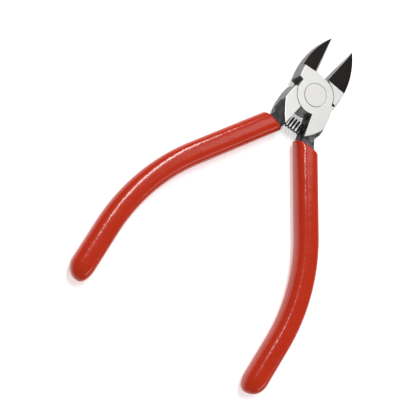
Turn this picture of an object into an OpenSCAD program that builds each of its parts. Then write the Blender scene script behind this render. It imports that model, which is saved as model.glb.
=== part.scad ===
// Diagonal cutting pliers: two forged levers on a half-lap rivet joint, a coil
// return spring between the handles and a dipped grip on each tang.
//
// +Y points to the jaws and +Z out of the front face. The rear face lies on z = 0
// and the rivet turns about the Z axis. The pliers are drawn fully open, with the
// front lever's jaw on the left and its handle on the right. Both levers are
// shaped as they lie when the jaws are shut, then turned half the opening angle.

/* [Head] */
// Thickness of the ground head
head_t = 8; // [7.6:0.1:8.4]
// Radius of the round lap around the rivet
lap_r = 6.8; // [6.6:0.1:7]
// Gap between the two halves of the lap
lap_gap = 0.04; // [0.02:0.01:0.08]
// Gap between a lap and the round recess in the other lever
recess_gap = 0.12; // [0.1:0.01:0.2]
// Angle between the jaws when the stops touch
open_angle = 21; // [20:0.5:22]

/* [Jaws] */
// Distance from the rivet to the jaw tips
jaw_len = 23.6; // [23:0.1:24]
// Thickness of each jaw at its tip
jaw_tip_t = 1.9; // [1.2:0.1:2.2]
// Distance from the rivet to the start of the sloping jaw face
jaw_face_y = 7.8; // [7.6:0.1:8]
// Radius of the jaw's curved back, at the parting line
jaw_back_r = 27.9; // [27.6:0.1:28.2]
// Sideways slope of the forged backs, in mm for each mm of height
forging_draft = 0.3; // [0.26:0.01:0.32]
// Depth of the step from the ground flat down to the root of the sloping face
jaw_step = 1.4; // [1:0.1:1.6]
// Height of the cutting edge above the rear face at the root of the jaw
edge_root_z = 1; // [0.9:0.1:1.4]
// Sideways offset of the closing line at the root of the jaws
edge_offset = 0.36; // [0:0.04:0.4]
// Height of the ground bevel along the cutting edge
edge_bevel_h = 1.8; // [1.4:0.1:2]

/* [Handles] */
// Angle between the straight part of a handle and the middle line, jaws shut
handle_out = 21.8; // [21:0.1:22.5]
// Angle by which the handle's end turns back in past the middle line's direction
handle_in = 12.2; // [11:0.1:13]
// Radius of the bend in the handle
handle_bend_r = 65; // [62:0.5:68]
// Length of the straight part above the bend
handle_straight = 32.4; // [31:0.1:34]
// Length of the straight part below the bend, to the end of the grip
handle_end = 19.3; // [18:0.1:21]
// Angle by which the rear handle stands further out than the front one
rear_handle_turn = 1.5; // [0:0.1:2]
// Thickness of the forged neck and tang
tang_t = 5.8; // [5.4:0.1:6]
// Width of the tang inside the grip
tang_w = 5.8; // [5.4:0.1:6]

/* [Grips] */
// Width of a grip, seen from the front
grip_w = 8.1; // [8:0.1:8.6]
// Corner radius on the inner side of a grip
grip_inner_r = 2.6; // [2:0.1:2.8]
// Corner radius on the outer side of a grip
grip_outer_r = 3.3; // [3:0.1:3.5]
// Distance from the rivet down to the front grip's upper edge, jaws open
front_grip_top = 16.1; // [16:0.1:16.6]
// Distance from the rivet down to the rear grip's upper edge, jaws shut
rear_grip_top = 16.7; // [16:0.1:17]
// Length over which the end of a grip is rounded off
grip_end_len = 5.5; // [4:0.1:6]

/* [Rivet] */
// Radius of the two flush heads
rivet_head_r = 4.1; // [4:0.05:4.2]
// Depth of the two flush heads
rivet_head_h = 1.6; // [1.4:0.1:1.8]
// Radius of the shank
rivet_shank_r = 2.6; // [2.5:0.05:2.7]
// Running clearance of the rivet in the rear lever
rivet_clear = 0.04; // [0.03:0.01:0.06]

/* [Return spring] */
// Outside diameter of the coil
spring_od = 4.4; // [4.2:0.1:4.5]
// Wire diameter
spring_wire = 0.54; // [0.44:0.02:0.6]
// Distance from the rivet down to the spring
spring_y = 11.8; // [11.6:0.1:12]
// Distance between the floors of the two pockets, jaws open
spring_len = 10.4; // [10.2:0.1:10.6]
// Turns at full pitch
spring_turns = 7; // [4:1:7]

/* [Hidden] */
$fn = 96;
big = 60;
half_open = open_angle / 2;
mid_z = head_t / 2;

// Jaws, shut. The cutting edges meet on a line that ends at x = 0 at the tips
edge_gap = 0.02;
edge_tip_z = mid_z;
edge_slope = atan((edge_tip_z - edge_root_z) / (jaw_len - jaw_face_y));
edge_skew = atan(edge_offset / (jaw_len - jaw_face_y));
jaw_back_centre = [19.1, 3.3];
jaw_face_skew = 7;
step_lean = 0.35;
jaw_face_slope = atan((mid_z - jaw_step - jaw_tip_t / 2) / (jaw_len - jaw_face_y));
rear_bevel = 50;
front_jaw_bevel = 26;
front_jaw_relief = 20;
rear_jaw_bevel = 8;
rear_jaw_relief = 1;

// Stop: the long heel on the front half of the rear lever's jaw meets a lug on the
// front lever's handle when the jaws are fully open
stop_r = 8.28;
lug_angle = -5.5;
stop_play = 0.2;
heel_angle = 180 - open_angle - stop_play - lug_angle;

// Free heel: two facets lean out from a line through this point on each face and
// meet a little below the parting line
heel_start = [-6.3, 3.35];
heel_turn = -20;
heel_lean = 1.6;
heel_ridge_z = 3.8;

// Handle root, shut
inner_x = 1.3;
shoulder_centre = [-12.9, -5.5];
shoulder_r = 21.5;
front_ground_centre = [-7, -0.4];
front_ground_r = 16.8;
front_ground_ramp = 1.3;
rear_ground_centre = [-25.8, 14.3];
rear_ground_r = 40;
rear_ground_ramp = 2.6;
tang_z = (head_t - tang_t) / 2;

// Middle line of a handle, shut: straight, round the bend, straight again
spine_start = [4.25, -15];
grip_lead = 6;
grip_end_shift = 2;
tang_short = 7;

function heading(a) = [sin(a), -cos(a)];
function outward(a) = [cos(a), sin(a)];

bend_start = spine_start + handle_straight * heading(handle_out);
bend_centre = bend_start - handle_bend_r * outward(handle_out);
bend_end = bend_centre + handle_bend_r * outward(-handle_in);

// Points beside the handle's middle line, at a sideways distance d from it
function beside(d, last) = [
    for (a = [handle_out : -2 : -handle_in + 1])
        bend_centre + (handle_bend_r + d) * outward(a),
    bend_end + last * heading(-handle_in) + d * outward(-handle_in)
];

function reversed(list) = [for (i = [len(list) - 1 : -1 : 0]) list[i]];

// Turns a child over about the Y axis, keeping it between the same two faces
module turned_over() {
    translate([0, 0, head_t])
        rotate([0, 180, 0])
            children();
}

// A round plate whose rim slopes both ways from the parting line at mid height
module drafted_plate(centre, r) {
    rim = r - forging_draft * mid_z;
    translate([centre.x, centre.y, 0])
        rotate_extrude($fn = 240)
            polygon([[0, 0], [rim, 0], [r, mid_z], [rim, head_t], [0, head_t]]);
}

// Outline of the round lap with the flank that runs up to the jaw. The flank
// starts just inside the circle, so that the two cross instead of touching.
module lap_outline(grow = 0) {
    flank = 70;
    touch = (lap_r + grow - 0.04) * outward(flank);
    top = touch + 5 * outward(flank + 90);
    circle(lap_r + grow);
    polygon([[0, 0], touch, top, [-3.7, top.y + 0.2], [-3.7, 0]]);
}

// Jaw side of the head seen from the front, with the given points along its heel
module jaw_outline(heel) {
    polygon(concat([[0.5, 2.6], [0.5, jaw_len], [-12, jaw_len]], heel));
}

// All that lies above the two facets of a free heel
module above_heel_facets() {
    translate(heel_start)
        rotate([0, 0, heel_turn])
            rotate([90, 0, 90])
                linear_extrude(big, center = true)
                    polygon([
                        [heel_lean, 2 * head_t - heel_ridge_z], [-heel_lean, heel_ridge_z],
                        [heel_lean, -heel_ridge_z], [big, -heel_ridge_z],
                        [big, 2 * head_t - heel_ridge_z]
                    ]);
}

// What is ground away along the inside of a jaw that lies at x < 0. The closing
// line's root is moved sideways by shift.
module edge_grinding(bevel, relief, shift) {
    bevel_top = [-edge_bevel_h * tan(bevel), edge_bevel_h];
    reach = 2 * head_t;
    side = shift > 0 ? 1 : -1;
    translate([shift - edge_gap / 2, jaw_face_y, edge_root_z])
        rotate([edge_slope, 0, side * edge_skew])
            rotate([90, 0, 0])
                linear_extrude(big, center = true)
                    polygon([
                        [0, 0], bevel_top, bevel_top + reach * [-tan(relief), 1],
                        [reach, reach], [reach, -reach],
                        [-reach * tan(rear_bevel), -reach]
                    ]);
}

// What is ground away to slope a jaw's front face down to the tip
module face_grinding() {
    translate([0, jaw_face_y, head_t - jaw_step])
        rotate([0, 0, -jaw_face_skew])
            rotate([90, 0, 90])
                linear_extrude(big, center = true)
                    polygon([
                        [0, 0], [big, -big * tan(jaw_face_slope)], [big, big],
                        [-step_lean, big], [-step_lean, jaw_step]
                    ]);
}

// Jaw with a free heel. With the stop, the half away from the lap runs further down.
module jaw_blank(with_stop) {
    intersection() {
        drafted_plate(jaw_back_centre, jaw_back_r);
        union() {
            intersection() {
                above_heel_facets();
                linear_extrude(head_t)
                    jaw_outline([[-12, 1.2], [-6, 1.2]]);
            }
            if (with_stop)
                linear_extrude(mid_z)
                    jaw_outline([
                        [-12, 5], [-9.2, 3.2], stop_r * outward(heel_angle), [-6.4, 2.7]
                    ]);
        }
    }
}

// The ground part of a handle, down to the curved edge where the forging starts.
// With the stop, the half that carries the lap stands higher and has a lug.
module shoulder(ground_centre, ground_r, ramp, with_stop) {
    intersection() {
        drafted_plate(shoulder_centre, shoulder_r);
        translate(ground_centre)
            rotate_extrude($fn = 240)
                polygon([
                    [0, 0], [ground_r, 0], [ground_r + ramp, tang_z],
                    [ground_r + ramp, head_t - tang_z], [ground_r, head_t], [0, head_t]
                ]);
        union() {
            linear_extrude(head_t)
                polygon([[inner_x, -3], [7.3, -2.5], [12, -7], [12, -20], [inner_x, -20]]);
            if (with_stop)
                translate([0, 0, mid_z])
                    linear_extrude(mid_z)
                        polygon([[inner_x, -3], [7, -1.4], [12, -1.4], [12, -20], [inner_x, -20]]);
        }
    }
    if (with_stop)
        translate([0, 0, mid_z])
            linear_extrude(mid_z)
                polygon([[5, -3], [6, -0.9], stop_r * outward(lug_angle), [7.4, -2.2], [7, -4]]);
}

// Neck and tang in one piece of constant thickness
module tang() {
    half_w = tang_w / 2;
    last = handle_end - tang_short;
    neck_out = [[2, -8], [7.3, -9.8], [6.5, -12], [5.6, -13.7], [6.6, -16.6]];
    neck_in = [[inner_x, -17], [0.75, -15.8], [inner_x, -13.4], [inner_x, -8]];
    straight_out = spine_start + 6 * heading(handle_out) + half_w * outward(handle_out);
    straight_in = straight_out - tang_w * outward(handle_out);
    tip = bend_end + last * heading(-handle_in);
    translate([0, 0, tang_z])
        linear_extrude(tang_t) {
            polygon(concat(
                neck_out, [straight_out], beside(half_w, last),
                reversed(beside(-half_w, last)), [straight_in], neck_in
            ));
            translate(tip)
                circle(half_w);
        }
}

// A lever as the front one lies. Children are taken away from the jaw only.
module lever(ground_centre, ground_r, ramp, lug, long_heel, handle_turn = 0) {
    difference() {
        union() {
            difference() {
                jaw_blank(long_heel);
                children();
            }
            translate([0, 0, mid_z])
                linear_extrude(mid_z)
                    lap_outline();
            shoulder(ground_centre, ground_r, ramp, lug);
            rotate([0, 0, handle_turn])
                tang();
        }
        face_grinding();
        mirror([0, 0, 1])
            translate([0, 0, -head_t])
                face_grinding();
        // Room for the other lever's lap
        translate([0, 0, -1])
            linear_extrude(mid_z + 1 + lap_gap / 2)
                mirror([1, 0, 0])
                    lap_outline(recess_gap);
        // Blind pocket for the end of the return spring
        rotate([0, 0, -half_open])
            translate([spring_len / 2, -spring_y, mid_z])
                rotate([0, -90, 0])
                    cylinder(r = spring_od / 2 + 0.1, h = spring_len / 2);
    }
}

module rivet_hole(clear) {
    translate([0, 0, -1])
        cylinder(r = rivet_shank_r + clear, h = head_t + 2);
    translate([0, 0, -1])
        cylinder(r = rivet_head_r + clear, h = rivet_head_h + clear + 1);
    translate([0, 0, head_t - rivet_head_h - clear])
        cylinder(r = rivet_head_r + clear, h = rivet_head_h + clear + 1);
}

module front_lever() {
    color("silver")
        rotate([0, 0, half_open])
            difference() {
                lever(
                    front_ground_centre, front_ground_r, front_ground_ramp,
                    lug = true, long_heel = false
                )
                    edge_grinding(front_jaw_bevel, front_jaw_relief, -edge_offset);
                rivet_hole(0);
            }
}

module rear_lever() {
    color("lightgray")
        rotate([0, 0, -half_open])
            difference() {
                turned_over()
                    lever(
                        rear_ground_centre, rear_ground_r, rear_ground_ramp,
                        lug = false, long_heel = true, handle_turn = rear_handle_turn
                    )
                        translate([0, 0, head_t])
                            mirror([0, 0, 1])
                                edge_grinding(rear_jaw_bevel, rear_jaw_relief, edge_offset);
                rivet_hole(rivet_clear);
            }
}

module pivot_rivet() {
    chamfer = 0.15;
    color("gainsboro")
        rotate_extrude()
            polygon([
                [0, 0], [rivet_head_r - chamfer, 0], [rivet_head_r, chamfer],
                [rivet_head_r, rivet_head_h], [rivet_shank_r, rivet_head_h],
                [rivet_shank_r, head_t - rivet_head_h], [rivet_head_r, head_t - rivet_head_h],
                [rivet_head_r, head_t - chamfer], [rivet_head_r - chamfer, head_t], [0, head_t]
            ]);
}

// Distance along the coil after t turns: closed end turns, open turns between them
closed_pitch = spring_wire * 1.04;
open_pitch = (spring_len - 0.1 - spring_wire - 2 * closed_pitch) / spring_turns;
coil_turns = spring_turns + 2;
function coil_along(t) =
    closed_pitch * min(t, 1)
    + open_pitch * max(0, min(t - 1, spring_turns))
    + closed_pitch * max(0, t - 1 - spring_turns);

module return_spring() {
    steps = 16;
    sides = 8;
    coil_r = (spring_od - spring_wire) / 2;
    wire_r = spring_wire / 2;
    first = -spring_len / 2 + 0.05 + wire_r;
    rings = coil_turns * steps + 1;
    points = [
        for (i = [0 : rings - 1], j = [0 : sides - 1])
            let (
                turn = 360 * i / steps,
                around = 360 * j / sides,
                r = coil_r + wire_r * cos(around)
            )
            [
                first + coil_along(i / steps) + wire_r * sin(around),
                -spring_y + r * sin(turn),
                mid_z + r * cos(turn)
            ]
    ];
    walls = [
        for (i = [0 : rings - 2], j = [0 : sides - 1])
            let (k = (j + 1) % sides)
            [i * sides + j, i * sides + k, (i + 1) * sides + k, (i + 1) * sides + j]
    ];
    start_cap = [for (j = [sides - 1 : -1 : 0]) j];
    end_cap = [for (j = [0 : sides - 1]) (rings - 1) * sides + j];
    color("dimgray")
        polyhedron(points, concat(walls, [start_cap, end_cap]), convexity = 8);
}

// Points of a quarter circle round a corner, from one angle to the next
function corner(centre, r, from) =
    [for (a = [from : 15 : from + 90]) centre + r * outward(a)];

// Section of a grip: x runs outward from the handle's middle line, y from mid height
grip_section = let (
    x0 = -grip_w / 2 + grip_inner_r,
    x1 = grip_w / 2 - grip_outer_r,
    y0 = mid_z - grip_inner_r,
    y1 = mid_z - grip_outer_r
) concat(
    corner([x1, y1], grip_outer_r, 0), corner([x0, y0], grip_inner_r, 90),
    corner([x0, -y0], grip_inner_r, 180), corner([x1, -y1], grip_outer_r, 270)
);

// Places along a grip's middle line: point, direction and size of the section there
grip_stations = concat(
    [[spine_start - grip_lead * heading(handle_out), handle_out, 1]],
    [
        for (a = [handle_out : -2 : -handle_in + 1])
            [bend_centre + handle_bend_r * outward(a), a, 1]
    ],
    [
        for (a = [0 : 15 : 75])
            [
                bend_end
                    + (handle_end - grip_end_len * (1 - sin(a))) * heading(-handle_in)
                    - grip_end_shift * (1 - cos(a)) * outward(-handle_in),
                -handle_in, cos(a)
            ]
    ]
);

// A grip whose upper edge lies at a distance from the rivet and is turned by lip_turn
module grip(top, lip_turn, handle_turn = 0) {
    sides = len(grip_section);
    last = len(grip_stations) - 1;
    points = [
        for (place = grip_stations, p = grip_section)
            let (across = place[0] + place[2] * p.x * outward(place[1]))
            [across.x, across.y, mid_z + place[2] * p.y]
    ];
    walls = [
        for (i = [0 : last - 1], j = [0 : sides - 1])
            let (k = (j + 1) % sides)
            [i * sides + j, (i + 1) * sides + j, (i + 1) * sides + k, i * sides + k]
    ];
    start_cap = [for (j = [0 : sides - 1]) j];
    end_cap = [for (j = [sides - 1 : -1 : 0]) last * sides + j];
    difference() {
        rotate([0, 0, handle_turn])
            difference() {
                polyhedron(points, concat(walls, [start_cap, end_cap]), convexity = 4);
                tang();
            }
        rotate([0, 0, lip_turn])
            translate([-big / 2, -top, -1])
                cube([big, big, head_t + 2]);
    }
}

module front_lever_grip() {
    color("orangered")
        rotate([0, 0, half_open])
            grip(front_grip_top, -half_open);
}

module rear_lever_grip() {
    color("red")
        rotate([0, 0, -half_open])
            turned_over()
                grip(rear_grip_top, 0, rear_handle_turn);
}

front_lever();
rear_lever();
pivot_rivet();
return_spring();
front_lever_grip();
rear_lever_grip();
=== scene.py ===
"""Diagonal cutting pliers: the looks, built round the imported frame.

The levers, grips, rivet and spring are modelled in millimetres on the same dimensions as the
CAD parts and then scaled to metres. Each lever is shaped as it lies when the jaws are shut, as
the front one (cutting edge on x = 0, jaw at x < 0, handle at x > 0, front face at z = HEAD_T),
and then turned half the opening angle; the rear lever is the same form turned over.
"""

import math

import bmesh
import bpy
import numpy as np
from mathutils import Matrix, Vector


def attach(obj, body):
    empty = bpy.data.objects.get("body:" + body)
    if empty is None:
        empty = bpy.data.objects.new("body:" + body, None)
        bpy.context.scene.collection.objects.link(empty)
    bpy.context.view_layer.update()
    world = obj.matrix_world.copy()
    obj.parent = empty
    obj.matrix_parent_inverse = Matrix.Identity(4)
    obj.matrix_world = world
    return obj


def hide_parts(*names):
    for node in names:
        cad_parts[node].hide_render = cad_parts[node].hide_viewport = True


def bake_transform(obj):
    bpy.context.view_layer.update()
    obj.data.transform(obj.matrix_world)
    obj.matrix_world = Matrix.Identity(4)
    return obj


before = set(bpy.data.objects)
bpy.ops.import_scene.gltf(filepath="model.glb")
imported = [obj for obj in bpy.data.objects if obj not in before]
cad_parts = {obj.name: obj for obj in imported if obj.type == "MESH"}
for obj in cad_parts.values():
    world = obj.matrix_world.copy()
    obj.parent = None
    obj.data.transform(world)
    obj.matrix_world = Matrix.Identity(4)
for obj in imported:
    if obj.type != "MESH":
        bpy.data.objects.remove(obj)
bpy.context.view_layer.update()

MM = 0.001

# Head and jaws, in millimetres and degrees
HEAD_T = 8.0
MID = HEAD_T / 2
LAP_R = 6.8
LAP_FLANK = 70
LAP_GAP = 0.04
RECESS_GAP = 0.12
OPEN_ANGLE = 21
HALF_OPEN = OPEN_ANGLE / 2
JAW_LEN = 23.6
JAW_TIP_T = 1.9
JAW_FACE_Y = 7.8
JAW_FACE_SKEW = 7
JAW_STEP = 1.4
STEP_LEAN = 0.35
JAW_BACK_CENTRE = (19.1, 3.3)
JAW_BACK_R = 27.9
# Sideways slope of the forged backs, for each unit of height
DRAFT = 0.3
EDGE_ROOT_Z = 1.0
EDGE_OFFSET = 0.36
EDGE_GAP = 0.02
EDGE_BEVEL_H = 1.8
# Angles of the bevel along each lever's edge and of the relief above it
FRONT_EDGE = (26, 20)
REAR_EDGE = (8, 1)
REAR_BEVEL = 50
STOP_R = 8.28
LUG_ANGLE = -5.5
STOP_PLAY = 0.2
HEEL_ANGLE = 180 - OPEN_ANGLE - STOP_PLAY - LUG_ANGLE
HEEL_START = (-6.3, 3.35)
HEEL_TURN = -20
HEEL_LEAN = 1.6

# Handle roots, in the shut position
INNER_X = 1.3
SHOULDER_CENTRE = (-12.9, -5.5)
SHOULDER_R = 21.5
# Edge of the ground part: centre, radius, and run of the ramp beyond it
FRONT_GROUND = ((-7.0, -0.4), 16.8, 1.3)
REAR_GROUND = ((-25.8, 14.3), 40.0, 2.6)
TANG_T = 5.8
TANG_W = 5.8

# Handles and grips
HANDLE_OUT = 21.8
HANDLE_IN = 12.2
REAR_HANDLE_TURN = 1.5
BEND_R = 65.0
HANDLE_STRAIGHT = 32.4
HANDLE_END = 19.3
SPINE_START = (4.25, -15.0)
GRIP_W = 8.1
FRONT_GRIP_TOP = 16.1
REAR_GRIP_TOP = 16.7
GRIP_END_LEN = 5.5
GRIP_END_SHIFT = 2.0
TANG_SHORT = 7.0

# Rivet and return spring
RIVET_HEAD_R = 4.1
RIVET_HEAD_T = 1.6
RIVET_SHANK_R = 2.6
# Depth of the recess for each rivet head
RIVET_POCKET = 2.4
SPRING_OD = 4.4
SPRING_WIRE = 0.54
SPRING_Y = 11.8
SPRING_LEN = 10.4
SPRING_TURNS = 7

JAW_FACE_SLOPE = math.atan((MID - JAW_STEP - JAW_TIP_T / 2) / (JAW_LEN - JAW_FACE_Y))
EDGE_SLOPE = math.atan((MID - EDGE_ROOT_Z) / (JAW_LEN - JAW_FACE_Y))
EDGE_SKEW = math.atan(EDGE_OFFSET / (JAW_LEN - JAW_FACE_Y))
BEND_LEN = math.radians(HANDLE_OUT + HANDLE_IN) * BEND_R
SPINE_LEN = HANDLE_STRAIGHT + BEND_LEN + HANDLE_END
GRIP_END_AT = SPINE_LEN - GRIP_END_LEN


def outward(degrees, r=1.0):
    """The point at distance r from the origin in a direction in the plane."""
    return (r * math.cos(math.radians(degrees)), r * math.sin(math.radians(degrees)))


# ---------------------------------------------------------------- solids as distance fields
# A field is negative inside the solid. both, either and without join fields, with the edge or
# the corner between them rounded to radius r.


def both(a, b, r):
    high = np.maximum(a, b)
    if r == 0:
        return high
    return np.minimum(high, -r) + np.hypot(np.maximum(a + r, 0), np.maximum(b + r, 0))


def either(a, b, r):
    return -both(-a, -b, r)


def without(a, b, r):
    return both(a, -b, r)


def outline(x, y, points):
    """Distance to a closed outline of straight lines."""
    nearest = np.full(np.broadcast(x, y).shape, 1e9, np.result_type(x, y))
    outside = np.ones(nearest.shape, bool)
    for (ax, ay), (bx, by) in zip(points, points[1:] + points[:1]):
        ex, ey = bx - ax, by - ay
        wx, wy = x - ax, y - ay
        t = np.clip((wx * ex + wy * ey) / (ex * ex + ey * ey), 0, 1)
        nearest = np.minimum(nearest, (wx - ex * t) ** 2 + (wy - ey * t) ** 2)
        above, below, left = y >= ay, y < by, ex * wy > ey * wx
        outside ^= (above & below & left) | (~above & ~below & ~left)
    return np.where(outside, 1, -1) * np.sqrt(nearest)


def drafted(x, y, z, centre, r):
    """A round plate whose rim slopes both ways from a soft ridge at mid height."""
    ridge = 0.2
    slope = DRAFT * np.sqrt((z - MID) ** 2 + ridge**2)
    return (np.hypot(x - centre[0], y - centre[1]) - r + slope) / math.hypot(1, DRAFT)


def lap_outline(x, y, grow):
    """A lap seen from the front: round, with a straight flank that runs up to the jaw."""
    r = LAP_R + grow
    touch = outward(LAP_FLANK, r - 0.04)
    run = outward(LAP_FLANK + 90, 5)
    top = (touch[0] + run[0], touch[1] + run[1])
    flank = outline(x, y, [(0, 0), touch, top, (-3.7, top[1] + 0.2), (-3.7, 0)])
    return either(np.hypot(x, y) - r, flank, 0)


def edge_grinding(x, y, z, bevel, relief, shift):
    """What is left of a jaw once its cutting edge is ground: a bevel, the relief above it and
    the slope below it."""
    skew = math.copysign(EDGE_SKEW, shift)
    px, py, pz = x - shift + EDGE_GAP / 2, y - JAW_FACE_Y, z - EDGE_ROOT_Z
    across = px * math.cos(skew) + py * math.sin(skew)
    along = py * math.cos(skew) - px * math.sin(skew)
    up = pz * math.cos(EDGE_SLOPE) - along * math.sin(EDGE_SLOPE)
    b, c, d = (math.radians(a) for a in (bevel, relief, REAR_BEVEL))
    bevel_face = across * math.cos(b) + up * math.sin(b)
    relief_face = (across + EDGE_BEVEL_H * math.tan(b)) * math.cos(c)
    relief_face = relief_face + (up - EDGE_BEVEL_H) * math.sin(c)
    rear_face = across * math.cos(d) - up * math.sin(d)
    return both(either(bevel_face, relief_face, 0), rear_face, 0.02)


def face_position(x, y):
    """How far a point lies beyond the line where the sloping jaw face starts."""
    skew = math.radians(JAW_FACE_SKEW)
    return x * math.sin(skew) + (y - JAW_FACE_Y) * math.cos(skew)


def face_grinding(x, y, z):
    """What is left of a lever once both faces of its jaw are ground down from a step."""
    u = face_position(x, y)
    above = np.abs(z - MID) - (MID - JAW_STEP)
    face = (above + u * math.tan(JAW_FACE_SLOPE)) * math.cos(JAW_FACE_SLOPE)
    lean = STEP_LEAN / JAW_STEP
    step = (u + above * lean) * math.cos(math.atan(lean))
    return either(face, step, 0.2)


def heel_facets(x, y, z):
    """The two facets of a free heel, which meet at the parting line."""
    turn = math.radians(HEEL_TURN)
    inward = (y - HEEL_START[1]) * math.cos(turn) - (x - HEEL_START[0]) * math.sin(turn)
    lean = HEEL_LEAN / MID
    ridge = 0.25
    height = np.sqrt((z - MID) ** 2 + ridge**2)
    return (lean * (height - MID) - inward) * math.cos(math.atan(lean))


def jaw(x, y, z, long_heel, edge):
    """A jaw with its curved back and its heel. The long heel is the rear lever's, which the front
    lever's lug meets when the jaws are open."""
    tip = [(0.5, 2.6), (0.5, JAW_LEN), (-12, JAW_LEN)]
    blank = outline(x, y, tip + [(-12, 1.2), (-6, 1.2)])
    blank = both(blank, heel_facets(x, y, z), 0.25)
    if long_heel:
        stop = outline(x, y, tip + [(-12, 5), (-9.2, 3.2), outward(HEEL_ANGLE, STOP_R), (-6.4, 2.7)])
        blank = either(blank, both(stop, z - MID, 0.25), 0.1)
    blank = both(blank, drafted(x, y, z, JAW_BACK_CENTRE, JAW_BACK_R), 0.3)
    return both(blank, edge, 0.03)


def shoulder(x, y, z, ground, lug):
    """The ground part of a handle, between the lap and the neck, with the lug if it has one."""
    low_root = [(INNER_X, -3), (7.3, -2.5), (12, -7), (12, -20), (INNER_X, -20)]
    blank = outline(x, y, low_root)
    if lug:
        root = [(INNER_X, -3), (7, -1.4), (12, -1.4), (12, -20), (INNER_X, -20)]
        blank = either(blank, both(outline(x, y, root), MID - z, 0.15), 0.3)
    blank = both(blank, drafted(x, y, z, SHOULDER_CENTRE, SHOULDER_R), 0.25)
    centre, ground_r, run = ground
    reach = np.hypot(x - centre[0], y - centre[1]) - ground_r
    ramp = math.atan(run / ((HEAD_T - TANG_T) / 2))
    ground_edge = reach * math.cos(ramp) + (np.abs(z - MID) - MID) * math.sin(ramp)
    ground_edge = both(ground_edge, reach - run, 0.4)
    blank = both(blank, ground_edge, 0.12)
    if not lug:
        return blank
    lug_points = [(5, -3), (6, -0.9), outward(LUG_ANGLE, STOP_R), (7.4, -2.2), (7, -4)]
    return either(blank, both(outline(x, y, lug_points), MID - z, 0.15), 0.15)


def forging_skin(x, y, z):
    """Low bumps like those of a forged and blasted surface."""
    coarse = np.sin(1.7 * x + 0.6 * y) * np.sin(1.9 * y - 0.8 * z + 1.3) * np.sin(1.6 * z + 0.9 * x)
    fine = np.sin(4.1 * x - 2.3 * y) * np.sin(4.7 * y + 3.1 * z) * np.sin(3.9 * z - 2.9 * x + 0.7)
    return coarse + 0.5 * fine


def neck(x, y, z, turn):
    """The forged neck and the start of the tang, turned about the rivet with the handle."""
    cos_t, sin_t = math.cos(math.radians(turn)), math.sin(math.radians(turn))
    x, y = x * cos_t + y * sin_t, y * cos_t - x * sin_t
    side = outward(HANDLE_OUT, TANG_W / 2)
    hidden = 9
    far = (SPINE_START[0] + hidden * math.sin(math.radians(HANDLE_OUT)), SPINE_START[1] - hidden)
    points = [
        (2, -8), (7.3, -9.8), (6.5, -12), (5.6, -13.7), (6.6, -16.6),
        (far[0] + side[0], far[1] + side[1]), (far[0] - side[0], far[1] - side[1]),
        (INNER_X + 0.2, -17), (0.75, -15.8), (INNER_X, -13.4), (INNER_X, -8),
    ]
    plate = both(outline(x, y, points), np.abs(z - MID) - TANG_T / 2, 1.0)
    return plate + 0.07 * forging_skin(x, y, z)


def lever_field(x, y, z, edge, ground, lug, long_heel, handle_turn):
    """A lever as the front one lies when the jaws are shut."""
    solid = jaw(x, y, z, long_heel, edge)
    lap = both(lap_outline(x, y, 0), MID + LAP_GAP / 2 - z, 0.08)
    solid = either(solid, lap, 0.05)
    solid = both(solid, face_grinding(x, y, z), 0.1)
    handle = either(shoulder(x, y, z, ground, lug), neck(x, y, z, handle_turn), 0.7)
    solid = either(solid, handle, 0.05)
    solid = both(solid, np.abs(z - MID) - MID, 0.08)
    recess = both(lap_outline(-x, y, RECESS_GAP), z - MID - LAP_GAP / 2, 0)
    solid = without(solid, recess, 0.08)
    head = both(np.hypot(x, y) - RIVET_HEAD_R - 0.02, MID - RIVET_POCKET - np.abs(z - MID), 0)
    solid = without(solid, head, 0.1)
    cos_h, sin_h = math.cos(math.radians(HALF_OPEN)), math.sin(math.radians(HALF_OPEN))
    x_open, y_open = x * cos_h - y * sin_h, x * sin_h + y * cos_h
    pocket = np.hypot(y_open + SPRING_Y, z - MID) - SPRING_OD / 2 - 0.1
    return without(solid, both(pocket, x_open - SPRING_LEN / 2, 0), 0.15)


def front_field(x, y, z):
    edge = edge_grinding(x, y, z, *FRONT_EDGE, -EDGE_OFFSET)
    return lever_field(x, y, z, edge, FRONT_GROUND, True, False, 0)


def rear_field(x, y, z):
    edge = edge_grinding(x, y, HEAD_T - z, *REAR_EDGE, EDGE_OFFSET)
    return lever_field(x, y, z, edge, REAR_GROUND, False, True, REAR_HANDLE_TURN)


# ---------------------------------------------------------------- meshes


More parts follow.
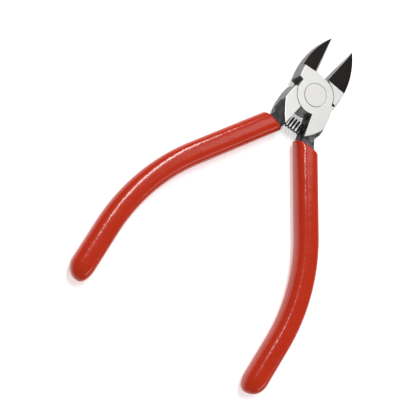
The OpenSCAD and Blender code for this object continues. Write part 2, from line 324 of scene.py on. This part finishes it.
def mesh_of_field(field, low, high, step):
    """Points and quads of the surface where field is 0, one point in each cell that it crosses."""
    axes = [np.arange(lo, hi + step, step, np.float32) for lo, hi in zip(low, high)]
    depth = field(*np.meshgrid(*axes, indexing="ij", sparse=True))
    inside = depth < 0
    cells = tuple(n - 1 for n in depth.shape)
    count = np.zeros(cells, np.uint8)
    corners = [(i, j, k) for i in (0, 1) for j in (0, 1) for k in (0, 1)]
    for i, j, k in corners:
        count += inside[i : i + cells[0], j : j + cells[1], k : k + cells[2]]
    found = np.argwhere((count > 0) & (count < 8))
    number = np.full(cells, -1, np.int32)
    number[tuple(found.T)] = np.arange(len(found))

    total, crossings = np.zeros((len(found), 3)), np.zeros(len(found))
    for axis in range(3):
        for corner in (c for c in corners if c[axis] == 0):
            a = found + corner
            b = a.copy()
            b[:, axis] += 1
            da, db = depth[tuple(a.T)], depth[tuple(b.T)]
            crossed = (da < 0) != (db < 0)
            t = np.where(crossed, da / np.where(crossed, da - db, 1), 0)
            point = np.array(corner, float) + np.zeros((len(found), 3))
            point[:, axis] += t
            total += point * crossed[:, None]
            crossings += crossed
    points = np.array(low) + step * (found + total / crossings[:, None])

    quads = []
    for axis in range(3):
        u, v = (axis + 1) % 3, (axis + 2) % 3
        here = [slice(1, -1)] * 3
        here[axis] = slice(0, -1)
        there = list(here)
        there[axis] = slice(1, None)
        starts = np.argwhere(inside[tuple(here)] != inside[tuple(there)])
        starts += [0 if a == axis else 1 for a in range(3)]
        rising = inside[tuple(starts.T)]
        ring = []
        for du, dv in ((-1, -1), (0, -1), (0, 0), (-1, 0)):
            cell = starts.copy()
            cell[:, u] += du
            cell[:, v] += dv
            ring.append(number[tuple(cell.T)])
        ring = np.stack(ring, 1)
        quads.append(np.where(rising[:, None], ring, ring[:, ::-1]))
    return settle(field, points, step), np.concatenate(quads)


def settle(field, points, step):
    """Moves points onto the surface where field is 0, by at most half a cell."""
    h = 0.01
    moved = points.copy()
    for _ in range(3):
        x, y, z = moved.T
        depth = field(x, y, z)
        slope = np.stack(
            [
                field(x + h, y, z) - field(x - h, y, z),
                field(x, y + h, z) - field(x, y - h, z),
                field(x, y, z + h) - field(x, y, z - h),
            ],
            1,
        ) / (2 * h)
        length = np.maximum((slope**2).sum(1), 0.25)
        moved -= slope * (depth / length)[:, None]
    away = moved - points
    far = np.maximum(np.linalg.norm(away, axis=1) / (step / 2), 1)
    return points + away / far[:, None]


def new_object(name, points, faces):
    mesh = bpy.data.meshes.new(name)
    mesh.from_pydata(points.tolist(), [], [list(f) for f in faces])
    mesh.validate()
    mesh.shade_smooth()
    obj = bpy.data.objects.new(name, mesh)
    bpy.context.scene.collection.objects.link(obj)
    return obj


def with_modifiers_applied(obj):
    graph = bpy.context.evaluated_depsgraph_get()
    mesh = bpy.data.meshes.new_from_object(obj.evaluated_get(graph))
    obj.modifiers.clear()
    obj.data = mesh
    return obj


def in_row_frame(obj, side):
    """Turns a piece made as the front lever's to its place at rest: side 1 is the front lever,
    and side -1 the rear one, turned over about the Y axis."""
    place = Matrix.Rotation(math.radians(side * HALF_OPEN), 4, "Z")
    if side < 0:
        place = place @ Matrix.Translation((0, 0, HEAD_T)) @ Matrix.Rotation(math.pi, 4, "Y")
    obj.data.transform(Matrix.Scale(MM, 4) @ place)
    return obj


def spine_place(s):
    """The place at distance s along a handle's middle line in the shut position: (x, y, angle),
    where angle is that of the direction across the line. The line is straight, then bends
    inward, then is straight again."""
    down = np.array([math.sin(math.radians(HANDLE_OUT)), -math.cos(math.radians(HANDLE_OUT))])
    start = np.array(SPINE_START)
    centre = start + HANDLE_STRAIGHT * down - np.array(outward(HANDLE_OUT, BEND_R))
    if s < HANDLE_STRAIGHT:
        return (*(start + s * down), HANDLE_OUT)
    if s < HANDLE_STRAIGHT + BEND_LEN:
        angle = HANDLE_OUT - math.degrees((s - HANDLE_STRAIGHT) / BEND_R)
        return (*(centre + np.array(outward(angle, BEND_R))), angle)
    bend_end = centre + np.array(outward(-HANDLE_IN, BEND_R))
    back_in = np.array([-math.sin(math.radians(HANDLE_IN)), -math.cos(math.radians(HANDLE_IN))])
    return (*(bend_end + (s - HANDLE_STRAIGHT - BEND_LEN) * back_in), -HANDLE_IN)


def spine_places(first, last, spacing):
    """Places along the middle line from one distance to another, about a spacing apart."""
    count = max(2, round((last - first) / spacing) + 1)
    return [spine_place(s) for s in np.linspace(first, last, count)]


def oval_section(steps=14):
    """Points round a grip's section: (outward, up) from its middle. It is a soft-cornered oval,
    rounder on the outer side, with the crown of its faces a little toward the inner side."""
    crown = -0.4
    half, top = GRIP_W / 2 - 0.03, MID - 0.05
    outer_power, inner_power = 2.9, 3.0
    points = []
    for i in range(4 * steps):
        c, s = outward(90 * i / steps)
        power = 2 / (outer_power if c > 0 else inner_power)
        x = crown + math.copysign(abs(c) ** power, c) * (half - math.copysign(crown, c))
        points.append((x, math.copysign(abs(s) ** power, s) * top))
    return points


def skin(name, rings):
    """A closed mesh through rings of equal length, with a cap at each end."""
    rings = np.array(rings, float)
    count, around = rings.shape[:2]
    faces = []
    for i in range(count - 1):
        for j in range(around):
            k = (j + 1) % around
            faces.append([i * around + j, (i + 1) * around + j, (i + 1) * around + k, i * around + k])
    faces.append(list(range(around)))
    faces.append(list(range(count * around - 1, (count - 1) * around - 1, -1)))
    return new_object(name, rings.reshape(-1, 3), faces)


def ring_at(place, section, size=1.0, slide=None):
    """A section set across the middle line at one place. slide moves each of its points along
    the line."""
    x, y, angle = place
    ox, oy = outward(angle)
    dx, dy = math.sin(math.radians(angle)), -math.cos(math.radians(angle))
    ring = []
    for i, (d, up) in enumerate(section):
        along = 0 if slide is None else slide[i]
        ring.append((x + ox * d * size + dx * along, y + oy * d * size + dy * along, MID + up * size))
    return ring


def grip(name, side, lip_at, lip_turn, handle_turn):
    """A dipped grip. Its upper edge lies at a distance from the rivet along a line that is
    turned by lip_turn, so the first rings are slanted to the middle line."""
    section = oval_section()
    half = GRIP_W / 2
    lip_turn -= handle_turn
    slant = math.radians(HANDLE_OUT - lip_turn)
    level = SPINE_START[1] * math.cos(math.radians(lip_turn))
    level -= SPINE_START[0] * math.sin(math.radians(lip_turn))
    top = (lip_at + level) / math.cos(slant)
    # The slant fades out over this length
    fade = 14.0
    lip_r = 0.8
    spacing = 0.8

    def slanted(s, inset):
        share = max(0.0, 1 - (s - top) / fade)
        slide = [d * (1 - inset / half) * math.tan(slant) * share for d, _ in section]
        return ring_at(spine_place(s), section, 1 - inset / half, slide)

    # Down inside the mouth, round the lip, and on to where the slant has faded out
    rings = [slanted(top + 2.2, 1.5), slanted(top + 0.5, 1.15)]
    for i in range(7):
        angle = math.radians(90 - 15 * i)
        rings.append(slanted(top + lip_r * (1 - math.sin(angle)), lip_r * (1 - math.cos(angle))))
    s = top + lip_r
    while s < top + fade:
        s += spacing
        rings.append(slanted(s, 0))
    for place in spine_places(s + spacing, GRIP_END_AT, spacing):
        rings.append(ring_at(place, section))

    # The rounded end, which draws in toward the inner side
    x, y, angle = spine_place(GRIP_END_AT)
    dx, dy = math.sin(math.radians(angle)), -math.cos(math.radians(angle))
    steps = 18
    for i in range(1, steps + 1):
        turn = math.radians(90 * i / (steps + 0.5))
        size = math.cos(turn) ** 0.9
        away = GRIP_END_LEN * math.sin(turn)
        ox, oy = outward(angle, -GRIP_END_SHIFT * (1 - size))
        rings.append(ring_at((x + dx * away + ox, y + dy * away + oy, angle), section, size))
    obj = skin(name, rings)
    obj.data.transform(Matrix.Rotation(math.radians(handle_turn), 4, "Z"))
    return in_row_frame(obj, side)


def hidden_tang(name):
    """The tang inside the grip."""
    w, t = TANG_W / 2 - 0.3, TANG_T / 2 - 0.3
    section = [(w, -t), (w, t), (-w, t), (-w, -t)]
    places = spine_places(5.0, SPINE_LEN - TANG_SHORT, 2.0)
    return skin(name, [ring_at(p, section) for p in places])


def keep_flats_flat(mesh):
    """Shades the ground flats as true planes, right up to their rounded edges."""
    normals = [corner.vector.copy() for corner in mesh.corner_normals]
    for face in mesh.polygons:
        if abs(face.normal.z) > 0.9998:
            for i in face.loop_indices:
                normals[i] = face.normal.copy()
    mesh.normals_split_custom_set(normals)


def lever(name, field, side, handle_turn):
    """A whole lever: its forging, meshed from the field, and the tang inside the grip."""
    step = 0.12
    room = 0.3
    low, high = (-10.2, -24.0, -room), (12.4, 24.1, HEAD_T + room)
    points, quads = mesh_of_field(field, low, high, step)
    obj = new_object(name, points, quads)
    thin = obj.modifiers.new("thin", "DECIMATE")
    thin.ratio = 0.45
    with_modifiers_applied(obj)
    tang = hidden_tang(name + "_tang")
    tang.data.transform(Matrix.Rotation(math.radians(handle_turn), 4, "Z"))
    joined = bmesh.new()
    joined.from_mesh(obj.data)
    joined.from_mesh(tang.data)
    joined.to_mesh(obj.data)
    joined.free()
    bpy.data.objects.remove(tang)
    obj.data.shade_smooth()
    in_row_frame(obj, side)
    weigh = obj.modifiers.new("weigh", "WEIGHTED_NORMAL")
    weigh.mode = "FACE_AREA"
    weigh.weight = 60
    with_modifiers_applied(obj)
    keep_flats_flat(obj.data)
    return obj


front_lever = lever("front_lever_forging", front_field, 1, 0)
rear_lever = lever("rear_lever_forging", rear_field, -1, REAR_HANDLE_TURN)
front_grip = grip("front_dipped_grip", 1, FRONT_GRIP_TOP, -HALF_OPEN, 0)
rear_grip = grip("rear_dipped_grip", -1, REAR_GRIP_TOP, 0, REAR_HANDLE_TURN)


def rivet(name):
    """The rivet: two ground heads and its shank."""
    edge = 0.1
    half = [(0.0, 0.0)]
    half += [(RIVET_HEAD_R - edge + edge * math.sin(a), -edge + edge * math.cos(a))
             for a in np.linspace(0, math.pi / 2, 6)]
    half += [(RIVET_HEAD_R, -RIVET_HEAD_T), (RIVET_SHANK_R, -RIVET_HEAD_T)]
    profile = [(r, HEAD_T + z) for r, z in half] + [(r, -z) for r, z in reversed(half)]
    around = 128
    points, faces = [], []
    for r, z in profile[1:-1]:
        for i in range(around):
            x, y = outward(360 * i / around, r)
            points.append((x, y, z))
    rows = len(profile) - 2
    for row in range(rows - 1):
        for i in range(around):
            k = (i + 1) % around
            a, b = row * around, (row + 1) * around
            faces.append([a + i, b + i, b + k, a + k])
    faces.append(list(range(around)))
    faces.append(list(range(rows * around - 1, (rows - 1) * around - 1, -1)))
    obj = new_object(name, np.array(points), faces)
    obj.data.transform(Matrix.Scale(MM, 4))
    weigh = obj.modifiers.new("weigh", "WEIGHTED_NORMAL")
    weigh.mode = "FACE_AREA"
    return obj


def coil(name):
    """The return spring: an open coil with a closed turn at each end."""
    steps, sides = 32, 14
    coil_r, wire_r = (SPRING_OD - SPRING_WIRE) / 2, SPRING_WIRE / 2
    closed = SPRING_WIRE * 1.04
    pitch = (SPRING_LEN - 0.1 - SPRING_WIRE - 2 * closed) / SPRING_TURNS
    turns = SPRING_TURNS + 2
    first = -SPRING_LEN / 2 + 0.05 + wire_r
    rings = []
    for i in range(turns * steps + 1):
        t = i / steps
        along = first + closed * min(t, 1) + pitch * max(0, min(t - 1, SPRING_TURNS))
        along += closed * max(0, t - 1 - SPRING_TURNS)
        turn = math.radians(360 * t)
        ring = []
        for j in range(sides):
            rise, slide = outward(360 * j / sides, wire_r)
            r = coil_r + rise
            ring.append((along + slide, -SPRING_Y + r * math.sin(turn), MID + r * math.cos(turn)))
        rings.append(ring)
    obj = skin(name, rings)
    obj.data.transform(Matrix.Scale(MM, 4))
    return obj


pivot = rivet("pivot_rivet_heads")
spring = coil("return_spring_coil")


# ---------------------------------------------------------------- materials


class Shader:
    """A material and short calls that add its nodes."""

    def __init__(self, name):
        self.material = bpy.data.materials.new(name)
        self.material.use_nodes = True
        self.tree = self.material.node_tree
        self.surface = self.tree.nodes["Principled BSDF"]
        coords = self.tree.nodes.new("ShaderNodeTexCoord")
        scale = self.tree.nodes.new("ShaderNodeVectorMath")
        scale.operation = "SCALE"
        scale.inputs["Scale"].default_value = 1 / MM
        self.tree.links.new(coords.outputs["Object"], scale.inputs[0])
        self.point = scale.outputs[0]

    def feed(self, value, socket):
        if isinstance(value, bpy.types.NodeSocket):
            self.tree.links.new(value, socket)
        else:
            socket.default_value = value

    def math(self, operation, *values):
        node = self.tree.nodes.new("ShaderNodeMath")
        node.operation = operation
        for value, socket in zip(values, node.inputs):
            self.feed(value, socket)
        return node.outputs[0]

    def dot(self, direction):
        node = self.tree.nodes.new("ShaderNodeVectorMath")
        node.operation = "DOT_PRODUCT"
        self.feed(self.point, node.inputs[0])
        node.inputs[1].default_value = direction
        return node.outputs["Value"]

    def band(self, value, start, end):
        """0 where value is below start, 1 past end, smooth between."""
        node = self.tree.nodes.new("ShaderNodeMapRange")
        node.interpolation_type = "SMOOTHSTEP"
        self.feed(value, node.inputs["Value"])
        node.inputs["From Min"].default_value = start
        node.inputs["From Max"].default_value = end
        return node.outputs["Result"]

    def noise(self, per_mm, stretch=(1, 1, 1), detail=4, roughness=0.55, seed=(0, 0, 0)):
        place = self.tree.nodes.new("ShaderNodeMapping")
        self.feed(self.point, place.inputs["Vector"])
        place.inputs["Scale"].default_value = stretch
        place.inputs["Location"].default_value = seed
        node = self.tree.nodes.new("ShaderNodeTexNoise")
        self.feed(place.outputs[0], node.inputs["Vector"])
        node.inputs["Scale"].default_value = per_mm
        node.inputs["Detail"].default_value = detail
        node.inputs["Roughness"].default_value = roughness
        return node.outputs["Fac"]

    def mix(self, share, a, b):
        node = self.tree.nodes.new("ShaderNodeMix")
        node.data_type = "RGBA"
        self.feed(share, node.inputs[0])
        self.feed(a, node.inputs[6])
        self.feed(b, node.inputs[7])
        return node.outputs[2]

    def blend(self, share, a, b):
        """A number between a and b."""
        node = self.tree.nodes.new("ShaderNodeMix")
        self.feed(share, node.inputs[0])
        self.feed(a, node.inputs[2])
        self.feed(b, node.inputs[3])
        return node.outputs[0]

    def bump(self, height, depth_mm, strength=1.0):
        node = self.tree.nodes.new("ShaderNodeBump")
        node.inputs["Strength"].default_value = strength
        node.inputs["Distance"].default_value = depth_mm * MM
        self.feed(height, node.inputs["Height"])
        self.tree.links.new(node.outputs[0], self.surface.inputs["Normal"])

    def set(self, **values):
        for name, value in values.items():
            self.feed(value, self.surface.inputs[name.replace("_", " ")])


def jaw_face_mask(m, x, y, w):
    """1 on the sloping jaw faces. Here and below, x and y are places on the shut lever, and w is
    the distance from its middle plane."""
    skew = math.radians(JAW_FACE_SKEW)
    along = m.math("MULTIPLY_ADD", y, math.cos(skew), -JAW_FACE_Y * math.cos(skew))
    u = m.math("MULTIPLY_ADD", x, math.sin(skew), along)
    off_face = m.math("MULTIPLY_ADD", u, math.tan(JAW_FACE_SLOPE), w)
    off_face = m.math("ABSOLUTE", m.math("SUBTRACT", off_face, MID - JAW_STEP))
    return m.math("MULTIPLY", m.band(off_face, 0.2, 0.1), m.band(u, -0.1, -0.02))


def neck_mask(m, x, y, w, ground, fine):
    """1 on the forged neck, which starts past the ground part in a line that slants down the
    sides."""
    centre, ground_r, run = ground
    from_x = m.math("POWER", m.math("SUBTRACT", x, centre[0]), 2.0)
    from_y = m.math("POWER", m.math("SUBTRACT", y, centre[1]), 2.0)
    reach = m.math("SQRT", m.math("ADD", from_x, from_y))
    below_face = m.math("SUBTRACT", MID, w)
    reach = m.math("MULTIPLY_ADD", below_face, -1.12 * run / MID, reach)
    reach = m.math("MULTIPLY_ADD", m.math("SUBTRACT", fine, 0.5), 0.2, reach)
    beyond = m.band(reach, ground_r - 0.05, ground_r + 0.1)
    return m.math("MULTIPLY", beyond, m.band(y, -2.4, -2.9))


def heel_facet_mask(m, x, y, w):
    """1 on the two facets of a free heel."""
    turn = math.radians(HEEL_TURN)
    start = math.sin(turn) * HEEL_START[0] - math.cos(turn) * HEEL_START[1]
    inward = m.math("MULTIPLY_ADD", y, math.cos(turn), start)
    inward = m.math("MULTIPLY_ADD", x, -math.sin(turn), inward)
    below_face = m.math("SUBTRACT", MID, w)
    off_facet = m.math("ABSOLUTE", m.math("MULTIPLY_ADD", below_face, HEEL_LEAN / MID, inward))
    return m.math("MULTIPLY", m.band(off_facet, 0.22, 0.1), m.band(x, -4.5, -4.9))


def lever_steel(name, side, ground, neck_grey_with_painted_light_and_shade):
    """Ground bright on the flats, very dark on the forged neck, satin grey on the drafted sides. The
    sloping jaw faces are painted very dark as a painted reflection, the drafted backs get a
    painted sheen toward the tips and the front lever's heel facets painted shade."""
    m = Shader(name)
    cos_h, sin_h = math.cos(math.radians(HALF_OPEN)), math.sin(math.radians(HALF_OPEN))
    x = m.dot((side * cos_h, sin_h, 0))
    y = m.dot((-side * sin_h, cos_h, 0))
    w = m.math("ABSOLUTE", m.math("SUBTRACT", m.dot((0, 0, 1)), MID))

    blotch = m.noise(0.55, detail=5, roughness=0.65, seed=(side * 7, 3, 1))
    grain = m.noise(1.0, stretch=(9, 0.7, 3), detail=6, roughness=0.7)
    fine = m.noise(5.0, detail=3)

    flat = m.band(w, MID - 0.16, MID - 0.05)
    beside = m.math("SUBTRACT", 1.0, flat)
    on_face = jaw_face_mask(m, x, y, w)
    inner = m.math("MULTIPLY", m.band(x, INNER_X + 0.5, INNER_X + 0.2), m.band(y, -6.6, -7.2))
    dark = m.math("MAXIMUM", neck_mask(m, x, y, w, ground, fine), m.math("MULTIPLY", inner, beside))
    # Painted shade on the heel facets, darkened two thirds of the way to the forged grey. Only the
    # front lever's heel is free
    if side > 0:
        painted_heel_shade = m.math("MULTIPLY", heel_facet_mask(m, x, y, w), 0.66)
        dark = m.math("MAXIMUM", dark, m.math("MULTIPLY", painted_heel_shade, beside))

    # Painted sheen: the drafted backs are painted lighter toward the jaw tips
    painted_tip_sheen = m.band(y, 13.0, 22.0)
    satin = m.mix(blotch, (0.125, 0.123, 0.12, 1), (0.27, 0.267, 0.26, 1))
    satin = m.mix(m.math("MULTIPLY", painted_tip_sheen, 0.9), satin, (0.42, 0.415, 0.405, 1))
    bright = m.mix(grain, (0.50, 0.495, 0.485, 1), (0.60, 0.595, 0.58, 1))
    face_of_neck = m.band(w, TANG_T / 2 - 0.5, TANG_T / 2 - 0.1)
    mottle = m.math("MULTIPLY", m.band(blotch, 0.35, 0.65), face_of_neck)
    forged = m.mix(mottle, (0.010, 0.009, 0.009, 1), (neck_grey_with_painted_light_and_shade, neck_grey_with_painted_light_and_shade, neck_grey_with_painted_light_and_shade, 1))
    # Painted dark reflection: the sloping jaw faces are painted very dark
    painted_dark_reflection = m.mix(grain, (0.011, 0.010, 0.010, 1), (0.033, 0.029, 0.027, 1))
    colour = m.mix(flat, satin, bright)
    colour = m.mix(dark, colour, forged)
    colour = m.mix(on_face, colour, painted_dark_reflection)

    polish = m.blend(flat, m.blend(blotch, 0.34, 0.5), m.blend(grain, 0.30, 0.42))
    polish = m.blend(dark, polish, m.blend(fine, 0.38, 0.62))
    polish = m.blend(on_face, polish, m.blend(grain, 0.34, 0.55))
    metal = m.blend(dark, m.blend(flat, 0.9, 0.75), 0.5)
    metal = m.blend(on_face, metal, 1.0)
    m.set(Base_Color=colour, Roughness=polish, Metallic=metal)
    rough = m.math("MULTIPLY", m.math("MULTIPLY", fine, dark), 2.5)
    m.bump(m.math("MULTIPLY_ADD", grain, 0.35, rough), 0.02)
    return m.material


def rivet_steel():
    """Ground heads, with painted shade in the gap round them, heavier toward the handles."""
    m = Shader("rivet_steel")
    grain = m.noise(1.0, stretch=(9, 0.7, 3), detail=6, roughness=0.7, seed=(2, 5, 0))
    squares = m.math("POWER", m.dot((1, 0, 0)), 2.0), m.math("POWER", m.dot((0, 1, 0)), 2.0)
    radius = m.math("SQRT", m.math("ADD", *squares))
    rim = m.band(radius, RIVET_HEAD_R - 0.22, RIVET_HEAD_R - 0.04)
    below = m.band(m.dot((-0.35, -0.94, 0)), -0.5, 3.0)
    # Painted shade: a dark brown ring on the rim of each head, heavier toward the handles
    painted_gap_shade = m.math("MULTIPLY", rim, m.blend(below, 0.25, 0.95))
    colour = m.mix(grain, (0.48, 0.475, 0.462, 1), (0.56, 0.555, 0.54, 1))
    colour = m.mix(painted_gap_shade, colour, (0.09, 0.065, 0.05, 1))
    m.set(Base_Color=colour, Roughness=m.blend(grain, 0.28, 0.38), Metallic=0.75)
    m.bump(grain, 0.008)
    return m.material


def spring_wire():
    """Blackened wire."""
    m = Shader("spring_wire")
    fine = m.noise(6.0, detail=3)
    colour = m.mix(fine, (0.008, 0.008, 0.009, 1), (0.022, 0.022, 0.024, 1))
    m.set(Base_Color=colour, Roughness=m.blend(fine, 0.3, 0.5), Metallic=0.4)
    m.bump(fine, 0.01)
    return m.material


def dipped_plastic():
    """Glossy soft plastic with faint ripples from dipping."""
    m = Shader("dipped_plastic")
    broad = m.noise(0.12, detail=2)
    ripple = m.noise(0.45, detail=2, roughness=0.4)
    scuff = m.noise(2.2, stretch=(1, 0.35, 1), detail=6, roughness=0.7)
    colour = m.mix(broad, (0.43, 0.018, 0.001, 1), (0.52, 0.025, 0.002, 1))
    m.set(Base_Color=colour, Roughness=m.blend(scuff, 0.12, 0.22))
    m.surface.inputs["IOR"].default_value = 1.45
    m.surface.inputs["Specular IOR Level"].default_value = 0.48
    m.surface.inputs["Subsurface Weight"].default_value = 0.08
    m.surface.inputs["Subsurface Radius"].default_value = (0.004, 0.001, 0.0005)
    m.surface.inputs["Subsurface Scale"].default_value = 0.2
    m.bump(m.math("MULTIPLY_ADD", scuff, 0.06, ripple), 0.06)
    return m.material


def dress(obj, material, body, node):
    """Gives a piece its material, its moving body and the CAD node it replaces."""
    obj.data.materials.clear()
    obj.data.materials.append(material)
    if body:
        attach(obj, body)
    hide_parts(node)


plastic = dipped_plastic()
# Both necks are the same forged steel; the front neck's lighter grey is painted light and the rear
# neck's darker grey painted shade
front_steel = lever_steel("front_lever_steel", 1, FRONT_GROUND, 0.14)
rear_steel = lever_steel("rear_lever_steel", -1, REAR_GROUND, 0.035)
dress(front_lever, front_steel, "front", "front_lever")
dress(rear_lever, rear_steel, "rear", "rear_lever")
dress(front_grip, plastic, "front", "front_lever_grip")
dress(rear_grip, plastic, "rear", "rear_lever_grip")
dress(pivot, rivet_steel(), "front", "pivot_rivet")
dress(spring, spring_wire(), None, "return_spring")
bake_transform(spring)


# ---------------------------------------------------------------- floor, light and camera


def floor():
    mesh = bpy.data.meshes.new("floor")
    half = 3.0
    drop = 0.0002
    corners = [(-half, -half, -drop), (half, -half, -drop), (half, half, -drop), (-half, half, -drop)]
    mesh.from_pydata(corners, [], [(0, 1, 2, 3)])
    obj = bpy.data.objects.new("floor", mesh)
    bpy.context.scene.collection.objects.link(obj)
    m = Shader("floor_paper")
    m.set(Base_Color=(0.9, 0.9, 0.9, 1), Roughness=0.9)
    m.surface.inputs["Emission Color"].default_value = (1, 1, 1, 1)
    m.surface.inputs["Emission Strength"].default_value = 0.45
    mesh.materials.append(m.material)


def softbox(name, place, target, size, power):
    """A rectangular light at a place, facing a target."""
    light = bpy.data.lights.new(name, "AREA")
    light.shape = "RECTANGLE"
    light.size, light.size_y = size
    light.energy = power
    obj = bpy.data.objects.new(name, light)
    obj.location = place
    obj.rotation_euler = (Vector(target) - Vector(place)).to_track_quat("-Z", "Y").to_euler()
    bpy.context.scene.collection.objects.link(obj)


def camera():
    """Looks down on the pliers from the lower left, turned so that the jaws point up and right."""
    eye = Vector((-0.07464, -0.12345, 0.2766))
    target = Vector((-0.01439, -0.05263, 0.004))
    up = Vector((-0.5565, 0.8258, 0.0915))
    back = (eye - target).normalized()
    right = up.cross(back).normalized()
    data = bpy.data.cameras.new("camera")
    data.lens = 79.1
    data.sensor_width = 36
    data.clip_start = 0.01
    obj = bpy.data.objects.new("camera", data)
    turn = Matrix((right, back.cross(right), back)).transposed()
    obj.matrix_world = Matrix.Translation(eye) @ turn.to_4x4()
    bpy.context.scene.collection.objects.link(obj)
    bpy.context.scene.camera = obj


floor()
camera()
middle = (0, -0.035, 0)
softbox("overhead", (0.16, 0.27, 0.6), middle, (0.16, 0.3), 0.35)
softbox("key", (-0.17, 0.24, 0.6), middle, (0.06, 0.5), 3.4)
softbox("side", (0.5, -0.25, 0.4), middle, (0.5, 0.2), 0.8)
world = bpy.data.worlds.new("studio")
world.use_nodes = True
world.node_tree.nodes["Background"].inputs["Color"].default_value = (1, 1, 1, 1)
world.node_tree.nodes["Background"].inputs["Strength"].default_value = 0.3
bpy.context.scene.world = world
bpy.context.scene.view_settings.view_transform = "Standard"
